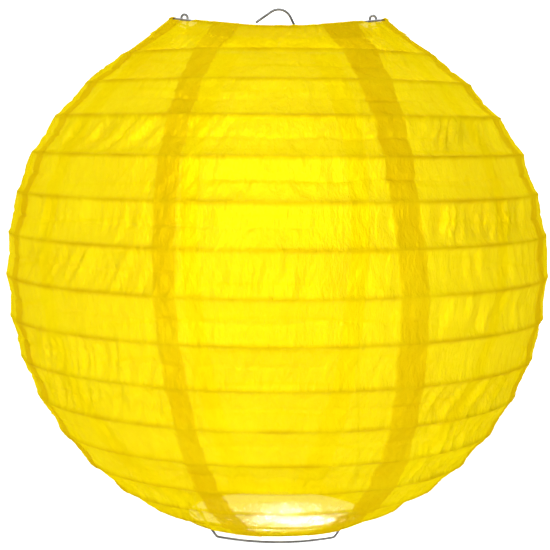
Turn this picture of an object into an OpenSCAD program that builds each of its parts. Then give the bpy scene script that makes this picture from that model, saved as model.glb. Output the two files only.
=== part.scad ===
// Accordion lantern: a collapsible fabric shell on wire hoops, held open by a
// sprung wire expander with a hanging hook.
// Millimetres, +Z up, -Y is the front. The origin is the seat inside the crown
// of the hanging hook, where the cord carries the lantern.

/* [Shell] */
// Radius of the fabric shell at its widest
shell_radius = 178; // [120:0.5:250]
// Angle from the top pole to the first rib
first_rib_angle = 38.7; // [34:0.1:42]
// Angle from each rib to the next
rib_pitch_angle = 8.68; // [8:0.01:9.2]
// Height of the top rim ring above the centre of the shell, on average
top_rim_height = 157.6; // [140:0.1:170]
// Radius of the top rim ring
top_rim_radius = 70.3; // [50:0.1:90]
// How far the expander lifts the top ring at its two sides
top_rim_lift = 4.6; // [0:0.05:6]
// How much narrower than a ball the shoulder is at the first rib
shoulder_taper = 8.2; // [0:0.1:12]

/* [Fabric] */
// Thickness of the fabric
fabric_thickness = 0.3; // [0.1:0.05:0.6]
// Room between two layers where they overlap
layer_gap = 0.05; // [0.02:0.01:0.2]
// Width of the glued overlap halfway up the shell
lap_width_middle = 13; // [8:0.5:20]
// Width of the glued overlap at the two mouths
lap_width_mouth = 18; // [8:0.5:24]
// Angle of the first overlap, from the front towards the right
first_seam_angle = -66.5; // [-90:0.5:0]
// Flat facets across each panel between its overlaps
panel_facets = 8; // [6:1:12]

/* [Wire] */
// Diameter of the fourteen rib hoops
rib_wire = 1.2; // [0.8:0.1:2]
// Diameter of the two rim rings
rim_wire = 1.6; // [1:0.1:2.5]
// Diameter of the expander and hook wire
frame_wire = 1.6; // [1.2:0.1:2.5]
// Distance from the outside of the fabric to the middle of a rib wire
rib_inset = 1.4; // [1.2:0.05:2]

/* [Expander] */
// Half the distance between the two upright legs
leg_offset = 55; // [45:0.1:57]
// Half the distance between the two bent loops at the top mouth
loop_offset = 61.8; // [58:0.1:66]
// Bend radius of the two bent loops at the top mouth
loop_radius = 2; // [1.8:0.1:3]
// How far the loops stand above the saddles that lift the top ring
loop_rise = 5.2; // [4.4:0.1:8]
// Height of the crossbar above the centre of the shell
crossbar_height = 141; // [120:0.1:145]
// Lowest point of the base below the centre of the shell
base_depth = 187.4; // [180:0.1:200]
// Radius of the bowed base
base_bow_radius = 220; // [150:1:400]
// Half the width of the bowed base, up to its corners
base_half_width = 38.5; // [30:0.1:42]

/* [Hook] */
// Height of the middle of the hook's crown above the centre of the shell
hook_crown_height = 169.4; // [165:0.05:180]
// Radius of the hook's crown
hook_crown_radius = 8.5; // [5:0.1:10]
// Length of the hook's open arm
hook_arm = 12.5; // [8:0.1:18]
// Length of the hook's closed side before it turns back under the crown
hook_side = 6.5; // [5:0.1:10]
// Room between the hook's eye and the crossbar
eye_gap = 0.3; // [0.2:0.05:0.6]

/* [Hidden] */

$fn = 64;
rib_count = 14;
gore_count = 8;
seam_pitch = 360 / gore_count;
frame_r = frame_wire / 2;
seat_height = hook_crown_height - frame_r;
wire_colour = [0.62, 0.63, 0.64];
fabric_colour = [0.98, 0.84, 0.06];

// Polar angle of a hoop: 0 is the top rim, 1 to 14 the ribs, 15 the bottom rim.
function hoop_angle(i) = first_rib_angle + (i - 1) * rib_pitch_angle;
function taper(i) = i < 4 ? shoulder_taper * pow((4 - i) / 3, 1.3) : 0;
function hoop_r(i) = (shell_radius - rib_inset) * sin(hoop_angle(i)) - taper(i);
function hoop_z(i) = (shell_radius - rib_inset) * cos(hoop_angle(i));
bottom_inset = rib_inset + (rim_wire - rib_wire) / 2;
bottom_angle = hoop_angle(rib_count + 1);
bottom_ring_r = (shell_radius - bottom_inset) * sin(bottom_angle);
bottom_ring_z = (shell_radius - bottom_inset) * cos(bottom_angle);

// The top ring is lifted where it rests on the expander, at the left and right.
function rim_z(a) = top_rim_height - top_rim_lift * cos(2 * a);

// A point at radius r and height z, turned by angle a from the front.
function spot(r, z, a) = [r * sin(a), -r * cos(a), z];

// ---------------------------------------------------------------- fabric

rows = rib_count + 1;
hem_inset = rim_wire / 2 + 0.15;
columns = panel_facets + 5;
step_angle = 0.6;

// Radius of the fabric's face at a row, out is 0 for the inner face.
function face_r(i, out) = i == 0
    ? top_rim_radius + hem_inset + out
    : (shell_radius - fabric_thickness + out) * sin(hoop_angle(i)) - taper(i);
function face_z(i, out, a) = i == 0
    ? rim_z(a) + 0.3
    : (shell_radius - fabric_thickness + out) * cos(hoop_angle(i));

// Half the overlap's width at a row, as an angle.
function mouthness(i) = i == 0 ? 0.8 : pow(cos(hoop_angle(i)), 2);
function lap_width(i) = lap_width_middle + (lap_width_mouth - lap_width_middle) * mouthness(i);
function half_lap(i) = lap_width(i) / face_r(i, fabric_thickness) * 90 / PI;

// Angle of a panel's column at a row. Columns 0 to 2 lie under the neighbour,
// and the last three lie over the next panel.
function seam(k) = first_seam_angle + k * seam_pitch;
function column_angle(k, i, j) =
    j <= 2 ? seam(k) + (j - 1) * half_lap(i) :
    j >= columns - 2 ? seam(k + 1) + (j - columns + 1) * half_lap(i) :
    seam(k) + half_lap(i)
        + (j - 2) / (columns - 5) * (seam_pitch - 2 * half_lap(i) - step_angle);
function column_lift(j) = j >= columns - 2 ? fabric_thickness + layer_gap : 0;

function skin_point(k, i, j, out) =
    let (lift = out + column_lift(j), a = column_angle(k, i, j))
    spot(face_r(i, lift), face_z(i, lift, a), a);

function quad(a, b, c, d) = [[a, b, c], [a, c, d]];

module gore(k) {
    wide = columns + 1;
    layer = wide * (rows + 1);
    outer = [for (i = [0:rows], j = [0:columns]) skin_point(k, i, j, fabric_thickness)];
    inner = [for (i = [0:rows], j = [0:columns]) skin_point(k, i, j, 0)];
    skin = [for (i = [0:rows - 1], j = [0:columns - 1])
        let (p = i * wide + j)
        each quad(p, p + 1, p + wide + 1, p + wide)];
    back = [for (t = skin) [t[0] + layer, t[2] + layer, t[1] + layer]];
    top = [for (j = [0:columns - 1]) each quad(j + layer, j + 1 + layer, j + 1, j)];
    last = rows * wide;
    bottom = [for (j = [last:last + columns - 1])
        each quad(j, j + 1, j + 1 + layer, j + layer)];
    first = [for (i = [0:rows - 1])
        let (p = i * wide)
        each quad(p, p + wide, p + wide + layer, p + layer)];
    far = [for (i = [0:rows - 1])
        let (p = i * wide + columns)
        each quad(p + layer, p + wide + layer, p + wide, p)];
    translate([0, 0, -seat_height])
    color(fabric_colour)
    polyhedron(points = concat(outer, inner),
        faces = concat(skin, back, top, bottom, first, far), convexity = 6);
}

module gore_1() { gore(0); }
module gore_2() { gore(1); }
module gore_3() { gore(2); }
module gore_4() { gore(3); }
module gore_5() { gore(4); }
module gore_6() { gore(5); }
module gore_7() { gore(6); }
module gore_8() { gore(7); }

// ---------------------------------------------------------------- hoops

module hoop(r, z, wire) {
    translate([0, 0, z - seat_height])
    color(wire_colour)
    rotate_extrude()
    translate([r, 0])
    circle(d = wire);
}

module rib(i) { hoop(hoop_r(i), hoop_z(i), rib_wire); }

module rib_01() { rib(1); }
module rib_02() { rib(2); }
module rib_03() { rib(3); }
module rib_04() { rib(4); }
module rib_05() { rib(5); }
module rib_06() { rib(6); }
module rib_07() { rib(7); }
module rib_08() { rib(8); }
module rib_09() { rib(9); }
module rib_10() { rib(10); }
module rib_11() { rib(11); }
module rib_12() { rib(12); }
module rib_13() { rib(13); }
module rib_14() { rib(14); }

module bottom_rim_ring() { hoop(bottom_ring_r, bottom_ring_z, rim_wire); }

// The top ring, bent into a shallow saddle by the expander.
ring_steps = 72;
ring_sides = 10;
function saddle_point(s, t) =
    let (a = s * 360 / ring_steps, b = t * 360 / ring_sides, r = rim_wire / 2)
    spot(top_rim_radius + r * cos(b), rim_z(a) + r * sin(b), a);

module top_rim_ring() {
    points = [for (s = [0:ring_steps - 1], t = [0:ring_sides - 1]) saddle_point(s, t)];
    faces = [for (s = [0:ring_steps - 1], t = [0:ring_sides - 1])
        let (n = (s + 1) % ring_steps, u = (t + 1) % ring_sides)
        each quad(s * ring_sides + t, s * ring_sides + u, n * ring_sides + u,
            n * ring_sides + t)];
    translate([0, 0, -seat_height])
    color(wire_colour)
    polyhedron(points = points, faces = faces, convexity = 6);
}

// ---------------------------------------------------------------- bent wire

// Where a wire in the XZ plane goes, from x and z with a heading. Each step is
// a straight length, then a bend by an angle (left is positive) at a radius.
// Each point is [x, z, heading].
bend_step = 15;
chord_step = 300;
function walk(steps, x, z, heading, i = 0) =
    i >= len(steps) ? [] :
    let (
        ahead = steps[i][0],
        turn = steps[i][1],
        bend = steps[i][2],
        side = turn < 0 ? -1 : 1,
        x1 = x + ahead * cos(heading),
        z1 = z + ahead * sin(heading),
        n = max(1, ceil(abs(turn) / bend_step), ceil(abs(turn) * bend / chord_step)),
        x2 = x1 + side * bend * (sin(heading + turn) - sin(heading)),
        z2 = z1 - side * bend * (cos(heading + turn) - cos(heading)),
        straight = ahead > 0 ? [[x1, z1, heading]] : [],
        curve = [for (k = [1:n])
            let (h = heading + turn * k / n)
            [x1 + side * bend * (sin(h) - sin(heading)),
                z1 - side * bend * (cos(h) - cos(heading)), h]]
    )
    concat(straight, turn == 0 ? [] : curve,
        walk(steps, x2, z2, heading + turn, i + 1));

wire_sides = 12;
function wire_point(p, t) =
    let (b = t * 360 / wire_sides)
    [p[0] - frame_r * cos(b) * sin(p[2]), frame_r * sin(b),
        p[1] + frame_r * cos(b) * cos(p[2])];

// A round wire along a path, closed at both ends.
module swept_wire(path) {
    last = (len(path) - 1) * wire_sides;
    points = [for (p = path, t = [0:wire_sides - 1]) wire_point(p, t)];
    sides = [for (s = [0:len(path) - 2], t = [0:wire_sides - 1])
        let (p = s * wire_sides, q = p + wire_sides, u = (t + 1) % wire_sides)
        each quad(p + t, p + u, q + u, q + t)];
    start = [for (t = [wire_sides - 1:-1:0]) t];
    end = [for (t = [0:wire_sides - 1]) last + t];
    polyhedron(points = points, faces = concat(sides, [start, end]), convexity = 8);
}

// Half of the expander: the base from its middle, the leg, the jog above the
// crossbar, the bent loop and the saddle under the top ring.
corner_radius = 3;
leg_slope = 55;
leg_bend = 10;
jog_bend = 3;
jog_slope = 45;
foot_bend = 1;
foot_end = 71.5;
bow_turn = asin(base_half_width / base_bow_radius);
corner_x = base_half_width + corner_radius * (sin(leg_slope) - sin(bow_turn));
bow_z = -base_depth + base_bow_radius * (1 - cos(bow_turn));
corner_z = bow_z + corner_radius * (cos(bow_turn) - cos(leg_slope));
spread = (leg_offset - corner_x - leg_bend * (1 - sin(leg_slope))) / cos(leg_slope);
leg_z = corner_z + spread * sin(leg_slope) + leg_bend * cos(leg_slope);
saddle_z = rim_z(90) - rim_wire / 2 - frame_r - layer_gap;
loop_z = saddle_z + loop_rise - loop_radius;
jog_z = crossbar_height + 2.2;
jog_shift = loop_offset - loop_radius - leg_offset;
jog_run = (jog_shift - 2 * jog_bend * (1 - cos(jog_slope))) / sin(jog_slope);
jog_rise = 2 * jog_bend * sin(jog_slope) + jog_run * cos(jog_slope);
drop = loop_rise - loop_radius - foot_bend;

half_path = concat([[0, -base_depth, 0]], walk([
    [0, bow_turn, base_bow_radius],
    [0, leg_slope - bow_turn, corner_radius],
    [spread, 90 - leg_slope, leg_bend],
    [jog_z - leg_z, -jog_slope, jog_bend],
    [jog_run, jog_slope, jog_bend],
    [loop_z - jog_z - jog_rise, -180, loop_radius],
    [drop, 90, foot_bend],
    [foot_end - loop_offset - loop_radius - foot_bend, 0, 1]
], 0, -base_depth, 0));
frame_path = concat(
    [for (k = [len(half_path) - 1:-1:1])
        [-half_path[k][0], half_path[k][1], -half_path[k][2]]],
    half_path);

module expander_frame() {
    translate([0, 0, -seat_height])
    color(wire_colour)
    swept_wire(frame_path);
}

// The crossbar: a straight bar with an eye round each leg.
leg_eye_radius = 2 * frame_r + layer_gap;

module crossbar_eye() {
    translate([leg_offset, 0, 0])
    rotate_extrude()
    translate([leg_eye_radius, 0])
    circle(d = frame_wire);
}

module expander_crossbar() {
    reach = leg_offset - leg_eye_radius;
    translate([0, 0, crossbar_height - seat_height])
    color(wire_colour) {
        translate([-reach, 0, 0])
        rotate([0, 90, 0])
        cylinder(d = frame_wire, h = 2 * reach);
        crossbar_eye();
        mirror([1, 0, 0]) crossbar_eye();
    }
}

// The hanging hook: an open crown, and a closed side that turns back to a
// shank and an eye round the middle of the crossbar.
arm_slope = 35;
side_slope = 64;
turn_radius = 5;
back_slope = 150;
shank_radius = 4;
eye_z = crossbar_height;
eye_radius = 2 * frame_r + eye_gap;
arm_x = -hook_crown_radius * sin(arm_slope) - hook_arm * cos(arm_slope);
arm_z = hook_crown_height - hook_crown_radius * (1 - cos(arm_slope))
    - hook_arm * sin(arm_slope);
side_x = hook_crown_radius * sin(side_slope) + hook_side * cos(side_slope);
side_z = hook_crown_height - hook_crown_radius * (1 - cos(side_slope))
    - hook_side * sin(side_slope);
turn_x = side_x + turn_radius * (sin(back_slope) - sin(side_slope));
turn_z = side_z + turn_radius * (cos(back_slope) - cos(side_slope));
shank_dx = shank_radius * (1 - sin(back_slope));
back_run = (turn_x - shank_dx) / -cos(back_slope);
shank_z = turn_z - back_run * sin(back_slope) + shank_radius * cos(back_slope);
shank_run = shank_z - eye_z - eye_radius;

hook_path = concat([[arm_x, arm_z, arm_slope]], walk([
    [hook_arm, -arm_slope - side_slope, hook_crown_radius],
    [hook_side, side_slope - back_slope, turn_radius],
    [back_run, back_slope - 90, shank_radius],
    [shank_run, 0, 1]
], arm_x, arm_z, arm_slope));

module hanging_hook() {
    translate([0, 0, -seat_height])
    color(wire_colour) {
        swept_wire(hook_path);
        translate([0, 0, eye_z])
        rotate([0, 90, 0])
        rotate_extrude()
        translate([eye_radius, 0])
        circle(d = frame_wire);
    }
}

hanging_hook();
expander_frame();
expander_crossbar();
top_rim_ring();
bottom_rim_ring();
rib_01();
rib_02();
rib_03();
rib_04();
rib_05();
rib_06();
rib_07();
rib_08();
rib_09();
rib_10();
rib_11();
rib_12();
rib_13();
rib_14();
gore_1();
gore_2();
gore_3();
gore_4();
gore_5();
gore_6();
gore_7();
gore_8();
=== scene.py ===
import math

import bpy
import numpy as np
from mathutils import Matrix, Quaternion, Vector


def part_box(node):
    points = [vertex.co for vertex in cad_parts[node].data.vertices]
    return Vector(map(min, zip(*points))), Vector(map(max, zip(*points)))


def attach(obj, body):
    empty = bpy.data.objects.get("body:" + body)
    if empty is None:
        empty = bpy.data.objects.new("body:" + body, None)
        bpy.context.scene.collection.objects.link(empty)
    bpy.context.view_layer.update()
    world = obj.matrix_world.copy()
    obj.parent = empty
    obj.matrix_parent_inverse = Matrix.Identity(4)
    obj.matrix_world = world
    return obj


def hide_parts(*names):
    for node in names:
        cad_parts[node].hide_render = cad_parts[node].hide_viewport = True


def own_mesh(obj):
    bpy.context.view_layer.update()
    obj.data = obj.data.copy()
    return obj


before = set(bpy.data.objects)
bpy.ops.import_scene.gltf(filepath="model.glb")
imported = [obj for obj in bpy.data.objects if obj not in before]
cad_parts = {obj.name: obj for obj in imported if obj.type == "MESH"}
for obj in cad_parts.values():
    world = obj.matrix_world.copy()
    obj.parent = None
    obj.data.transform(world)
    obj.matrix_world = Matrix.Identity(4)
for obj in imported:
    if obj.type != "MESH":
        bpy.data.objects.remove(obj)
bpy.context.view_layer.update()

# Everything is in metres, in the model's frame: +Z up, the front faces -Y, and
# the origin is the seat inside the hook's crown.

# ------------------------------------------------------------ driving sizes

RIBS = 14
GORES = 8
RIB_NAMES = ["rib_%02d" % i for i in range(1, RIBS + 1)]

RIB_WIRE = 0.0006        # radius of a rib hoop
RIM_WIRE = 0.0008        # radius of a rim ring
CLOTH = 0.00015          # room kept between the cloth and a wire
LAYER_GAP = 0.00035      # between the two layers of a lap

FIRST_SEAM = -66.5       # degrees from the front towards the right
SEAM_PITCH = 45.0
LAP_MIDDLE = 0.013       # width of a lap halfway up
LAP_MOUTH = 0.018        # width of a lap at the mouths

SAG = 0.0011             # how far a band dips between two hoops
PUCKER = 0.0018          # depth of the upright puckers
GATHER = 0.0004          # depth of the fine pleats beside a hoop
CRUMPLE = 0.00042        # depth of the small dents
GLUE = 0.0005            # depth of the crinkles along the glued laps
CREASE = 0.0014          # depth of the fold creases halfway between hoops

BAND_STEPS = 16          # mesh steps from hoop to hoop
ACROSS_STEPS = 84        # mesh steps across a gore
POCKET_STEPS = 180       # mesh steps round a rib's pocket
RIDGE = 0.0004           # how far the cloth stands out over a hoop

TOP_HEM_DEPTH = 0.016    # how far the hem turns back inside the top mouth
BASE_HEM_DEPTH = 0.009   # and inside the bottom mouth
HEM_REACH = 0.0012       # how far the hem comes down over the shell
HEM_OFF = 0.00125        # from the middle of a rim wire to the hem round it
NOTCH_FROM = 47.0        # degrees, where the top hem is cut away beside a loop
NOTCH_TO = 71.0
NOTCH_DEPTH = 0.0032     # how far the shell's edge drops there
POCKET_OFF = 0.00076     # from the middle of a rib wire to its pocket


def ring(name, wire):
    """A hoop's middle height and the radius of its wire's centre line."""
    low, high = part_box(name)
    return (high[0] - low[0]) / 2 - wire, (high[2] + low[2]) / 2


rib_rings = [ring(name, RIB_WIRE) for name in RIB_NAMES]
top_r, top_z = ring("top_rim_ring", RIM_WIRE)
bottom_r, bottom_z = ring("bottom_rim_ring", RIM_WIRE)
low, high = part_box("top_rim_ring")
TOP_LIFT = (high[2] - low[2]) / 2 - RIM_WIRE

# The shell is a sphere through the hoops, but for its narrower shoulder.
(mid_r, mid_z), (end_r, end_z) = rib_rings[RIBS // 2], rib_rings[-1]
CENTRE_Z = (end_r ** 2 - mid_r ** 2 + end_z ** 2 - mid_z ** 2) / (end_z - mid_z) / 2


def rim_lift(azimuth):
    """The top ring is a shallow saddle, high at the left and right."""
    return -TOP_LIFT * np.cos(2 * azimuth)


# ------------------------------------------------------------ cloth shape


def smooth(x):
    x = np.clip(x, 0, 1)
    return x * x * (3 - 2 * x)


def corner_value(i, j, k):
    """A fixed number from -1 to 1 for each corner of a unit lattice."""
    h = i * 374761393 + j * 668265263 + k * 1442695041
    h = (h ^ (h >> 13)) * 1274126177
    h = (h ^ (h >> 16)) & 0xFFFFFF
    return h / 0x7FFFFF - 1.0


def wobble(x, y, z):
    """Smooth noise from -1 to 1 at each point."""
    x, y, z = np.broadcast_arrays(x, y, z)
    total = np.zeros(x.shape)
    whole = [np.floor(v).astype(np.int64) for v in (x, y, z)]
    part = [v - w for v, w in zip((x, y, z), whole)]
    part = [p * p * p * (p * (p * 6 - 15) + 10) for p in part]
    for a in (0, 1):
        for b in (0, 1):
            for c in (0, 1):
                weight = (part[0] if a else 1 - part[0])
                weight = weight * (part[1] if b else 1 - part[1])
                weight = weight * (part[2] if c else 1 - part[2])
                total += weight * corner_value(whole[0] + a, whole[1] + b, whole[2] + c)
    return total


def around(azimuth, per_turn, other):
    """Noise that runs round the lantern and meets itself: per_turn is how many
    features fit in a turn."""
    radius = per_turn / (2 * math.pi)
    return wobble(radius * np.cos(azimuth) + 50, radius * np.sin(azimuth) + 50, other)


def hoop_rows():
    """Radius and height of the cloth at each hoop, from the top rim down."""
    hoops = [(top_r, top_z, RIM_WIRE)]
    hoops += [(r, z, RIB_WIRE + CLOTH) for r, z in rib_rings]
    hoops += [(bottom_r, bottom_z, RIM_WIRE)]
    rows = []
    for r, z, wire in hoops:
        polar = math.atan2(r, z - CENTRE_Z)
        out = wire + CLOTH
        rows.append((r + out * math.sin(polar), z + out * math.cos(polar)))
    return np.array(rows)


ROWS = hoop_rows()
LAST_ROW = len(ROWS) - 1

# One value for each lap, starting with the one at the front's far left, in degrees:
# how far it leans from mouth to mouth, how far its top end is off, how far all of
# it is off, and how much more it leans below a third of the way down.
LEANS = (0.0, 7.5, -3.5, 2.0, -4.0, 3.0, -2.5, 4.5)
MOUTH_SPREADS = (1.5, -3.0, 7.0, 2.0, -2.0, 3.0, -3.0, 1.0)
LAP_SHIFTS = (0.0, 1.3, 0.0, 0.6, -0.8, 0.5, -0.4, 0.7)
LOW_LEANS = (0.0, 0.0, 15.0, 0.0, 4.0, 0.0, -3.0, 0.0)
LEAN_PIVOT = 0.55        # how far down a leaning lap keeps its place
LOW_FROM = 0.33          # how far down the lower lean starts
LAP_SHADE = 0.42          # how dark the painted shade is in the laps, where the doubled cloth lets less light through
# how wide each lap is beside the usual width, and how slack each gore is
LAP_SHARES = (1.0, 1.0, 1.38, 1.1, 0.95, 1.15, 1.05, 1.2)
SLACKNESS = (1.2, 0.5, 1.5, 1.0, 1.2, 0.9, 1.1, 1.0)


def seam_angle(k, row):
    """Where the middle of lap k lies at a row, in degrees. The laps were stuck down by
    hand, so each one leans and wanders a little."""
    down = row / LAST_ROW
    lap = k % GORES
    lean = LEANS[lap] * (down - LEAN_PIVOT) + LAP_SHIFTS[lap]
    lean = lean + LOW_LEANS[lap] * np.maximum(down - LOW_FROM, 0)
    spread = MOUTH_SPREADS[lap] * np.exp(-down / 0.10)
    wander = 0.7 * wobble(down * 5.0, lap * 7.3, 0.5)
    return FIRST_SEAM + k * SEAM_PITCH + lean + spread + wander


def half_lap(k, row):
    """Half of the lap's width at a row, in degrees."""
    down = row / LAST_ROW
    width = LAP_MIDDLE + (LAP_MOUTH - LAP_MIDDLE) * (2 * down - 1) ** 2
    width = width * LAP_SHARES[k % GORES]
    width = width * (1 + 0.08 * wobble(down * 9.0, (k % GORES) * 3.1 + 40, 0.5))
    radius = np.interp(row, np.arange(len(ROWS)), ROWS[:, 0])
    return np.degrees(width / radius) / 2


def notch(azimuth):
    """1 where the top hem is cut away, either side of each loop, and 0 elsewhere."""
    side = np.abs(np.degrees(np.arcsin(np.sin(azimuth))))
    return smooth((side - NOTCH_FROM) / 3) * smooth((NOTCH_TO - side) / 3)


def dent(azimuth, row, lapped, beside_lap, slackness):
    """How far the cloth stands in from the straight line between two hoops."""
    band = np.clip(np.floor(row), 0, LAST_ROW - 1)
    u = row - band
    arch = 4 * u * (1 - u)
    edge = np.minimum(u, 1 - u)
    ends = np.where((band > 0) & (band < LAST_ROW - 1), 1.0, 0.6)
    stiff = np.where(lapped, 0.4, 1.0)
    # the slack of each band, which changes round the lantern
    slack = 1 + 0.45 * around(azimuth, 10, band * 3.7)
    depth = SAG * arch * slack * ends
    # upright puckers, leaning a little, deepest where the cloth is slack
    lean = (0.05 + 0.10 * around(azimuth, 7, band * 2.3 + 90)) * (u - 0.5)
    patch = smooth(0.5 + 1.2 * around(azimuth, 9, band * 1.9 + 30))
    fold = around(azimuth + lean, 100, band * 7.0 + u * 0.5)
    fold = fold + 0.5 * around(azimuth + lean, 300, band * 3.3 + u * 0.9 + 60)
    fold = 1.2 - 2.4 * np.abs(fold)
    depth = depth + PUCKER * slackness * fold * patch * arch ** 0.7 * stiff * ends
    # fine pleats where the cloth is gathered on a hoop
    pleat = around(azimuth, 520, row * 0.8 + 5)
    beside = np.exp(-edge * 9.0) * smooth(edge * 14)
    depth = depth + GATHER * pleat * beside * stiff
    # small dents all over
    depth = depth + CRUMPLE * around(azimuth, 260, row * 5.5) * smooth(arch * 2)
    # crinkles along the glued laps
    depth = depth + GLUE * around(azimuth, 230, row * 11) * beside_lap * smooth(arch * 3)
    # the crease left from when the lantern was folded flat
    kept = smooth(0.5 + 1.6 * around(azimuth, 14, band * 4.3 + 11))
    line = u - 0.5 - 0.06 * around(azimuth, 40, band * 8.1)
    strength = np.where(lapped, 1.0, 0.5) * kept
    depth = depth + CREASE * strength * np.exp(-(line / 0.045) ** 2) * ends
    # the ridge over each hoop
    return depth - RIDGE * np.exp(-(edge / 0.05) ** 2)


def cloth_points(azimuth, row, layer, lapped, beside_lap, slackness):
    """Points of the cloth. layer is how far it stands out from the inner layer."""
    band = np.clip(np.floor(row), 0, LAST_ROW - 1).astype(int)
    u = row - band
    r0, z0 = ROWS[band, 0], ROWS[band, 1]
    r1, z1 = ROWS[band + 1, 0], ROWS[band + 1, 1]
    z0 = z0 + np.where(band == 0, rim_lift(azimuth), 0)
    length = np.hypot(r1 - r0, z1 - z0)
    drop = NOTCH_DEPTH * notch(azimuth) * (band == 0)
    u = u + (1 - u) * drop / length
    depth = layer - dent(azimuth, row, lapped, beside_lap, slackness)
    r = r0 + (r1 - r0) * u + (z0 - z1) / length * depth
    z = z0 + (z1 - z0) * u + (r1 - r0) / length * depth
    return np.stack([r * np.sin(azimuth), -r * np.cos(azimuth), z], axis=-1)


def row_steps():
    """The mesh's rows, closer together beside the hoops and at the mid crease."""
    u = np.arange(BAND_STEPS) / BAND_STEPS
    u = u - 0.035 * np.sin(4 * math.pi * u)
    rows = (np.arange(LAST_ROW)[:, None] + u[None, :]).ravel()
    return np.append(rows, LAST_ROW)


def make_mesh(name, points, wide, closed=False):
    """A grid of points, in rows of the given width, as a smooth object."""
    tall = len(points) // wide
    i, j = np.meshgrid(np.arange(tall - 1), np.arange(wide if closed else wide - 1),
                       indexing="ij")
    a = (i * wide + j).ravel()
    b = (i * wide + (j + 1) % wide).ravel()
    faces = np.stack([a, a + wide, b + wide, b], axis=1)
    mesh = bpy.data.meshes.new(name)
    mesh.from_pydata(np.asarray(points).tolist(), [], faces.tolist())
    mesh.update()
    mesh.polygons.foreach_set("use_smooth", [True] * len(mesh.polygons))
    piece = bpy.data.objects.new(name, mesh)
    bpy.context.scene.collection.objects.link(piece)
    return piece


def make_gore(k):
    """One panel, from the lap it tucks under to the lap it covers."""
    row = row_steps()[:, None]
    left = seam_angle(k, row) - half_lap(k, row)
    left_in = seam_angle(k, row) + half_lap(k, row)
    right_in = seam_angle(k + 1, row) - half_lap(k + 1, row)
    right = seam_angle(k + 1, row) + half_lap(k + 1, row)
    turn = left + (right - left) * np.linspace(0, 1, ACROSS_STEPS + 1)[None, :]
    over = smooth((turn - right_in + 0.35) / 0.35)
    lapped = (turn < left_in) | (turn > right_in)
    from_left = np.maximum(turn - left_in, 0)
    from_right = np.maximum(right_in - turn, 0)
    beside_lap = np.exp(-(from_left / 2.6) ** 2) + np.exp(-(from_right / 2.6) ** 2)
    blend = smooth(from_left / 8) * smooth(from_right / 8)
    slackness = 0.6 + (SLACKNESS[k] - 0.6) * blend
    row = np.broadcast_to(row, turn.shape)
    points = cloth_points(np.radians(turn), row, LAYER_GAP * over, lapped,
                          beside_lap, slackness)
    piece = make_mesh("gore_cloth_%d" % (k + 1), points.reshape(-1, 3), ACROSS_STEPS + 1)
    glued = piece.data.attributes.new("glued", "FLOAT", "POINT")
    # painted shade: the laps, darker as if the doubled cloth let less light through, and in
    # patches a painted shadow of the wire along the line over each hoop
    wire_shadow = np.exp(-((row - np.round(row)) * BAND_STEPS / 0.9) ** 2)
    patchy = 0.45 + 0.3 * around(np.radians(turn), 56, np.round(row) * 3.7)
    shaded = np.maximum(LAP_SHADE * lapped, wire_shadow * patchy)
    glued.data.foreach_set("value", np.clip(shaded, 0, 1).ravel())
    return piece


def gore_area():
    """The flat area of one panel with its laps."""
    step = np.hypot(np.diff(ROWS[:, 0]), np.diff(ROWS[:, 1]))
    middle = np.arange(LAST_ROW) + 0.5
    share = np.radians(SEAM_PITCH + 2 * half_lap(0, middle))
    return float((step * (ROWS[1:, 0] + ROWS[:-1, 0]) / 2 * share).sum())


def wrap_hem(name, hoop_r, hoop_z, toward, azimuths):
    """The edge of the cloth folded round a rim wire and stuck down inside with glue."""
    along = np.array(toward) - np.array((hoop_r, hoop_z))
    along = along / np.hypot(*along)
    out = np.array((-along[1], along[0])) * (1 if along[1] < 0 else -1)
    ragged = 0.0003 * around(azimuths, 90, hoop_z * 100)
    ragged = ragged + 0.00015 * around(azimuths, 260, hoop_z * 100 + 7)
    depth = TOP_HEM_DEPTH if hoop_z > CENTRE_Z else BASE_HEM_DEPTH
    steps = [(HEM_REACH, HEM_OFF + 0.0003), (HEM_REACH / 2, HEM_OFF + 0.0002)]
    for turn in np.linspace(0, math.pi, 9):
        steps.append((-HEM_OFF * math.sin(turn), HEM_OFF * math.cos(turn)))
    for share in np.linspace(0.2, 1, 6):
        steps.append((depth * share, -HEM_OFF + 0.0004 * share))
    points = []
    for forth, off in steps:
        edge = 1 + ragged / HEM_OFF * (1 if forth <= 0 else 0.3)
        r = hoop_r + along[0] * forth * edge + out[0] * off * edge
        z = hoop_z + along[1] * forth * edge + out[1] * off * edge
        if hoop_z > CENTRE_Z:
            z = z + rim_lift(azimuths)
        points.append(np.stack([r * np.sin(azimuths), -r * np.cos(azimuths), z], axis=-1))
    width = HEM_REACH + math.pi * HEM_OFF + depth
    length = hoop_r * abs(azimuths[-1] - azimuths[0])
    return make_mesh(name, np.concatenate(points), len(azimuths)), (length, width)


def make_pocket(name, hoop_r, hoop_z):
    """A narrow strip of cloth folded round a rib and stuck to the shell with glue."""
    azimuths = np.linspace(0, 2 * math.pi, POCKET_STEPS + 1)[:, None]
    turn = np.linspace(0, 2 * math.pi, 9)[None, :-1]
    off = POCKET_OFF + 0.00004 * around(azimuths, 200, hoop_z * 90 + turn)
    r = hoop_r + off * np.cos(turn)
    z = hoop_z + off * np.sin(turn)
    points = np.stack([r * np.sin(azimuths), -r * np.cos(azimuths), z], axis=-1)
    return make_mesh(name, points.reshape(-1, 3), 8, closed=True)


# ------------------------------------------------------------ materials

DYE_DEEP = (0.93, 0.74, 0.0012, 1)
DYE_LIGHT = (0.985, 0.848, 0.003, 1)
SHEER = 0.09             # share of the cloth one sees through
SHADE_TINT = (0.80, 0.64, 1.0, 1)   # painted shade: how much the dye is darkened in the laps and over the hoops
SIGHT = (1.0, 0.96, 0.60, 1)       # the tint of what one sees through the cloth


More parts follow.
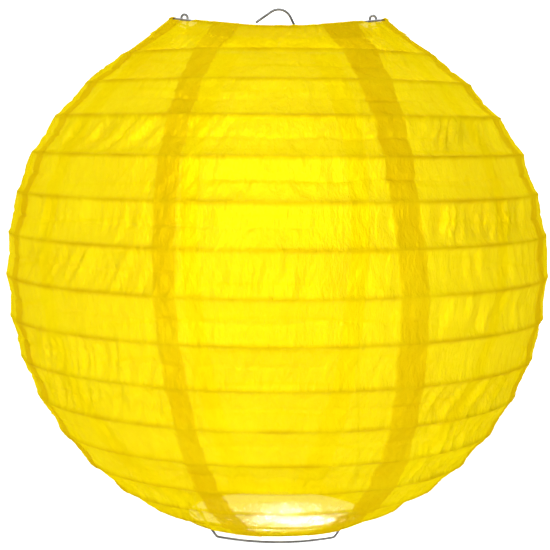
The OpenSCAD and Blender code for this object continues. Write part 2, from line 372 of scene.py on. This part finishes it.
def shader(name):
    material = bpy.data.materials.new(name)
    material.use_nodes = True
    nodes = material.node_tree.nodes
    links = material.node_tree.links
    nodes.clear()
    output = nodes.new("ShaderNodeOutputMaterial")
    return material, nodes, links, output


def satin_nylon():
    """Thin satin-weave nylon that lets light through, and a little sight."""
    material, nodes, links, output = shader("satin_nylon")
    coord = nodes.new("ShaderNodeTexCoord")
    body = nodes.new("ShaderNodeBsdfPrincipled")
    body.inputs["Sheen Weight"].default_value = 0.06
    body.inputs["Sheen Roughness"].default_value = 0.4
    body.inputs["Sheen Tint"].default_value = (1.0, 0.88, 0.05, 1)
    body.inputs["Specular IOR Level"].default_value = 0.0
    through = nodes.new("ShaderNodeBsdfTranslucent")
    satin = nodes.new("ShaderNodeBsdfAnisotropic")
    satin.inputs["Roughness"].default_value = 0.30
    satin.inputs["Anisotropy"].default_value = 0.4
    clear = nodes.new("ShaderNodeBsdfTransparent")
    clear.inputs["Color"].default_value = SIGHT
    # dye: cloudy changes and slight changes from thread to thread
    cloud = nodes.new("ShaderNodeTexNoise")
    cloud.inputs["Scale"].default_value = 20
    cloud.inputs["Detail"].default_value = 4
    streak = nodes.new("ShaderNodeTexNoise")
    streak.inputs["Scale"].default_value = 1.0
    streak.inputs["Detail"].default_value = 3
    stretch = nodes.new("ShaderNodeMapping")
    stretch.inputs["Scale"].default_value = (260, 260, 60)
    links.new(coord.outputs["Object"], cloud.inputs["Vector"])
    links.new(coord.outputs["Object"], stretch.inputs["Vector"])
    links.new(stretch.outputs["Vector"], streak.inputs["Vector"])
    both = nodes.new("ShaderNodeMix")
    both.data_type = "FLOAT"
    both.inputs["Factor"].default_value = 0.3
    links.new(cloud.outputs["Fac"], both.inputs["A"])
    links.new(streak.outputs["Fac"], both.inputs["B"])
    dye = nodes.new("ShaderNodeValToRGB")
    dye.color_ramp.elements[0].position = 0.34
    dye.color_ramp.elements[0].color = DYE_DEEP
    dye.color_ramp.elements[1].position = 0.66
    dye.color_ramp.elements[1].color = DYE_LIGHT
    links.new(both.outputs["Result"], dye.inputs["Fac"])
    # painted shade: the dye is darkened in the laps, where the cloth is doubled, and in a
    # painted shadow of the wire over each hoop
    glued = nodes.new("ShaderNodeAttribute")
    glued.attribute_name = "glued"
    shaded = nodes.new("ShaderNodeMix")
    shaded.data_type = "RGBA"
    shaded.blend_type = "MULTIPLY"
    shaded.inputs["B"].default_value = SHADE_TINT
    links.new(glued.outputs["Fac"], shaded.inputs["Factor"])
    links.new(dye.outputs["Color"], shaded.inputs["A"])
    for shade in (body.inputs["Base Color"], through.inputs["Color"], satin.inputs["Color"]):
        links.new(shaded.outputs["Result"], shade)
    # the finish is duller in some places than in others
    finish = nodes.new("ShaderNodeMapRange")
    finish.inputs["To Min"].default_value = 0.38
    finish.inputs["To Max"].default_value = 0.62
    links.new(both.outputs["Result"], finish.inputs["Value"])
    links.new(finish.outputs["Result"], body.inputs["Roughness"])
    # weave: fine threads one way, and a fine grain
    warp = nodes.new("ShaderNodeTexWave")
    warp.wave_type = "BANDS"
    warp.bands_direction = "Z"
    warp.inputs["Scale"].default_value = 620
    warp.inputs["Distortion"].default_value = 1.2
    grain = nodes.new("ShaderNodeTexNoise")
    grain.inputs["Scale"].default_value = 700
    grain.inputs["Detail"].default_value = 3
    links.new(coord.outputs["Object"], warp.inputs["Vector"])
    links.new(coord.outputs["Object"], grain.inputs["Vector"])
    threads = nodes.new("ShaderNodeMix")
    threads.data_type = "FLOAT"
    threads.inputs["Factor"].default_value = 0.7
    links.new(warp.outputs["Fac"], threads.inputs["A"])
    links.new(grain.outputs["Fac"], threads.inputs["B"])
    bump = nodes.new("ShaderNodeBump")
    bump.inputs["Strength"].default_value = 0.4
    bump.inputs["Distance"].default_value = 0.0003
    links.new(threads.outputs["Result"], bump.inputs["Height"])
    # wrinkle: soft upright wrinkles under the weave
    tall = nodes.new("ShaderNodeMapping")
    tall.inputs["Scale"].default_value = (75, 75, 30)
    wrinkle = nodes.new("ShaderNodeTexNoise")
    wrinkle.inputs["Scale"].default_value = 1.0
    wrinkle.inputs["Detail"].default_value = 6
    wrinkle.inputs["Roughness"].default_value = 0.62
    links.new(coord.outputs["Object"], tall.inputs["Vector"])
    links.new(tall.outputs["Vector"], wrinkle.inputs["Vector"])
    slack = nodes.new("ShaderNodeBump")
    slack.inputs["Strength"].default_value = 1.0
    slack.inputs["Distance"].default_value = 0.004
    links.new(wrinkle.outputs["Fac"], slack.inputs["Height"])
    links.new(slack.outputs["Normal"], bump.inputs["Normal"])
    links.new(bump.outputs["Normal"], body.inputs["Normal"])
    links.new(bump.outputs["Normal"], satin.inputs["Normal"])
    links.new(bump.outputs["Normal"], through.inputs["Normal"])
    # some light goes through, and a little sight between the threads
    lit = nodes.new("ShaderNodeMixShader")
    lit.inputs["Fac"].default_value = 0.42
    links.new(body.outputs["BSDF"], lit.inputs[1])
    links.new(through.outputs["BSDF"], lit.inputs[2])
    shiny = nodes.new("ShaderNodeMixShader")
    shiny.inputs["Fac"].default_value = 0.15
    links.new(lit.outputs["Shader"], shiny.inputs[1])
    links.new(satin.outputs["BSDF"], shiny.inputs[2])
    sheer = nodes.new("ShaderNodeMixShader")
    sheer.inputs["Fac"].default_value = SHEER
    links.new(shiny.outputs["Shader"], sheer.inputs[1])
    links.new(clear.outputs["BSDF"], sheer.inputs[2])
    links.new(sheer.outputs["Shader"], output.inputs["Surface"])
    return material


def drawn_wire(name, dark, light, rough):
    """Drawn steel wire with a fine grain in its surface and dull patches."""
    material, nodes, links, output = shader(name)
    coord = nodes.new("ShaderNodeTexCoord")
    body = nodes.new("ShaderNodeBsdfPrincipled")
    body.inputs["Metallic"].default_value = 0.9
    patches = nodes.new("ShaderNodeTexNoise")
    patches.inputs["Scale"].default_value = 160
    patches.inputs["Detail"].default_value = 5
    links.new(coord.outputs["Object"], patches.inputs["Vector"])
    tone = nodes.new("ShaderNodeValToRGB")
    tone.color_ramp.elements[0].position = 0.35
    tone.color_ramp.elements[0].color = (*dark, 1)
    tone.color_ramp.elements[1].position = 0.7
    tone.color_ramp.elements[1].color = (*light, 1)
    links.new(patches.outputs["Fac"], tone.inputs["Fac"])
    links.new(tone.outputs["Color"], body.inputs["Base Color"])
    dull = nodes.new("ShaderNodeMapRange")
    dull.inputs["To Min"].default_value = rough - 0.1
    dull.inputs["To Max"].default_value = rough + 0.15
    links.new(patches.outputs["Fac"], dull.inputs["Value"])
    links.new(dull.outputs["Result"], body.inputs["Roughness"])
    scratches = nodes.new("ShaderNodeTexNoise")
    scratches.inputs["Scale"].default_value = 1400
    links.new(coord.outputs["Object"], scratches.inputs["Vector"])
    bump = nodes.new("ShaderNodeBump")
    bump.inputs["Strength"].default_value = 0.25
    bump.inputs["Distance"].default_value = 0.00005
    links.new(scratches.outputs["Fac"], bump.inputs["Height"])
    links.new(bump.outputs["Normal"], body.inputs["Normal"])
    links.new(body.outputs["BSDF"], output.inputs["Surface"])
    return material


NYLON = satin_nylon()
RIB_STEEL = drawn_wire("rib_steel", (0.20, 0.20, 0.21), (0.40, 0.40, 0.41), 0.42)
FRAME_STEEL = drawn_wire("frame_steel", (0.08, 0.083, 0.088), (0.25, 0.257, 0.27), 0.42)


def coat(piece, material):
    piece.data.materials.clear()
    piece.data.materials.append(material)


# ------------------------------------------------------------ assembly

for k in range(GORES):
    gore = make_gore(k)
    coat(gore, NYLON)
    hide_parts("gore_%d" % (k + 1))
    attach(gore, "expander")
    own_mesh(gore)
    gore_area()

for name, (hoop_r, hoop_z) in zip(RIB_NAMES, rib_rings):
    pocket = make_pocket(name.replace("rib", "pocket"), hoop_r, hoop_z)
    coat(pocket, NYLON)
    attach(pocket, name)

for name, start, end in (("top_hem_front", -NOTCH_FROM, NOTCH_FROM),
                         ("top_hem_right", NOTCH_TO, 180 - NOTCH_TO),
                         ("top_hem_back", 180 - NOTCH_FROM, 180 + NOTCH_FROM),
                         ("top_hem_left", 180 + NOTCH_TO, 360 - NOTCH_TO),
                         ("bottom_hem", 0, 360)):
    azimuths = np.radians(np.linspace(start, end, 5 * round(abs(end - start) / 3) + 1))
    top = name.startswith("top")
    hoop, row = ((top_r, top_z), ROWS[1]) if top else ((bottom_r, bottom_z), ROWS[-2])
    hem, flat = wrap_hem(name, *hoop, row, azimuths)
    coat(hem, NYLON)
    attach(hem, "expander" if top else "bottom_ring")

for name in RIB_NAMES + ["top_rim_ring", "bottom_rim_ring"]:
    coat(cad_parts[name], RIB_STEEL)
for name in ("hanging_hook", "expander_frame", "expander_crossbar"):
    coat(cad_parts[name], FRAME_STEEL)

# ------------------------------------------------------------ stage

FLOOR_Z = CENTRE_Z - 0.40
FLOOR_SIDE = 6.0         # how far the floor goes to the sides and to the front
FLOOR_BACK = 1.7         # and to the back


def pale_floor():
    points = [(side, depth, FLOOR_Z) for depth in (-FLOOR_SIDE, FLOOR_BACK)
              for side in (-FLOOR_SIDE, FLOOR_SIDE)]
    floor = make_mesh("floor", points, 2)
    material, nodes, links, output = shader("pale_floor")
    body = nodes.new("ShaderNodeBsdfPrincipled")
    body.inputs["Base Color"].default_value = (0.94, 0.94, 0.94, 1)
    body.inputs["Roughness"].default_value = 0.9
    links.new(body.outputs["BSDF"], output.inputs["Surface"])
    coat(floor, material)


pale_floor()

ROOM_LIGHT = 0.37
BACKDROP_LIGHT = 1.6

world = bpy.data.worlds.new("studio")
bpy.context.scene.world = world
world.use_nodes = True
world_nodes = world.node_tree.nodes
world_links = world.node_tree.links
world_nodes["Background"].inputs["Color"].default_value = (1, 1, 1, 1)
# a bright backdrop behind the lantern, and a dimmer room in front of it
direction = world_nodes.new("ShaderNodeTexCoord")
parts = world_nodes.new("ShaderNodeSeparateXYZ")
fall = world_nodes.new("ShaderNodeMapRange")
fall.interpolation_type = "SMOOTHSTEP"
fall.inputs["From Min"].default_value = -0.1
fall.inputs["From Max"].default_value = 0.9
fall.inputs["To Min"].default_value = ROOM_LIGHT
fall.inputs["To Max"].default_value = BACKDROP_LIGHT
world_links.new(direction.outputs["Generated"], parts.inputs["Vector"])
world_links.new(parts.outputs["Y"], fall.inputs["Value"])
world_links.new(fall.outputs["Result"], world_nodes["Background"].inputs["Strength"])


def soft_light(name, place, size, power, target=(0, 0, CENTRE_Z), spread=180):
    data = bpy.data.lights.new(name, "AREA")
    data.shape = "DISK"
    data.size = size
    data.energy = power
    data.spread = math.radians(spread)
    light = bpy.data.objects.new(name, data)
    light.location = place
    aim = Vector(target) - Vector(place)
    light.rotation_euler = aim.to_track_quat("-Z", "Y").to_euler()
    bpy.context.scene.collection.objects.link(light)


soft_light("front_key", (-0.2, -1.9, CENTRE_Z + 0.80), 1.3, 35)
soft_light("floor_wash", (0.0, 1.3, CENTRE_Z + 0.8), 0.8, 14, (0.0, 1.2, FLOOR_Z))
soft_light("floor_pool", (0.0, 0.9, CENTRE_Z + 0.6), 0.08, 0.5, (0.02, 0.87, FLOOR_Z), 9)

# ------------------------------------------------------------ camera

CAMERA_BACK = 1.0        # from the lantern's axis
CAMERA_UP = 0.0894       # above the middle of the shell
CAMERA_TILT = 5.42       # degrees down
CAMERA_ROLL = 0.36
CAMERA_LENS = 98.64
CAMERA_SHIFT = -0.0038

camera_data = bpy.data.cameras.new("camera")
camera_data.lens = CAMERA_LENS
camera_data.sensor_width = 36
camera_data.shift_x = CAMERA_SHIFT
camera = bpy.data.objects.new("camera", camera_data)
bpy.context.scene.collection.objects.link(camera)
camera.location = (0, -CAMERA_BACK, CENTRE_Z + CAMERA_UP)
camera.rotation_mode = "QUATERNION"
tilt = math.radians(CAMERA_TILT)
turn = Vector((0, math.cos(tilt), -math.sin(tilt))).to_track_quat("-Z", "Y")
camera.rotation_quaternion = turn @ Quaternion((0, 0, 1), math.radians(CAMERA_ROLL))
bpy.context.scene.camera = camera

bpy.context.scene.view_settings.view_transform = "Standard"
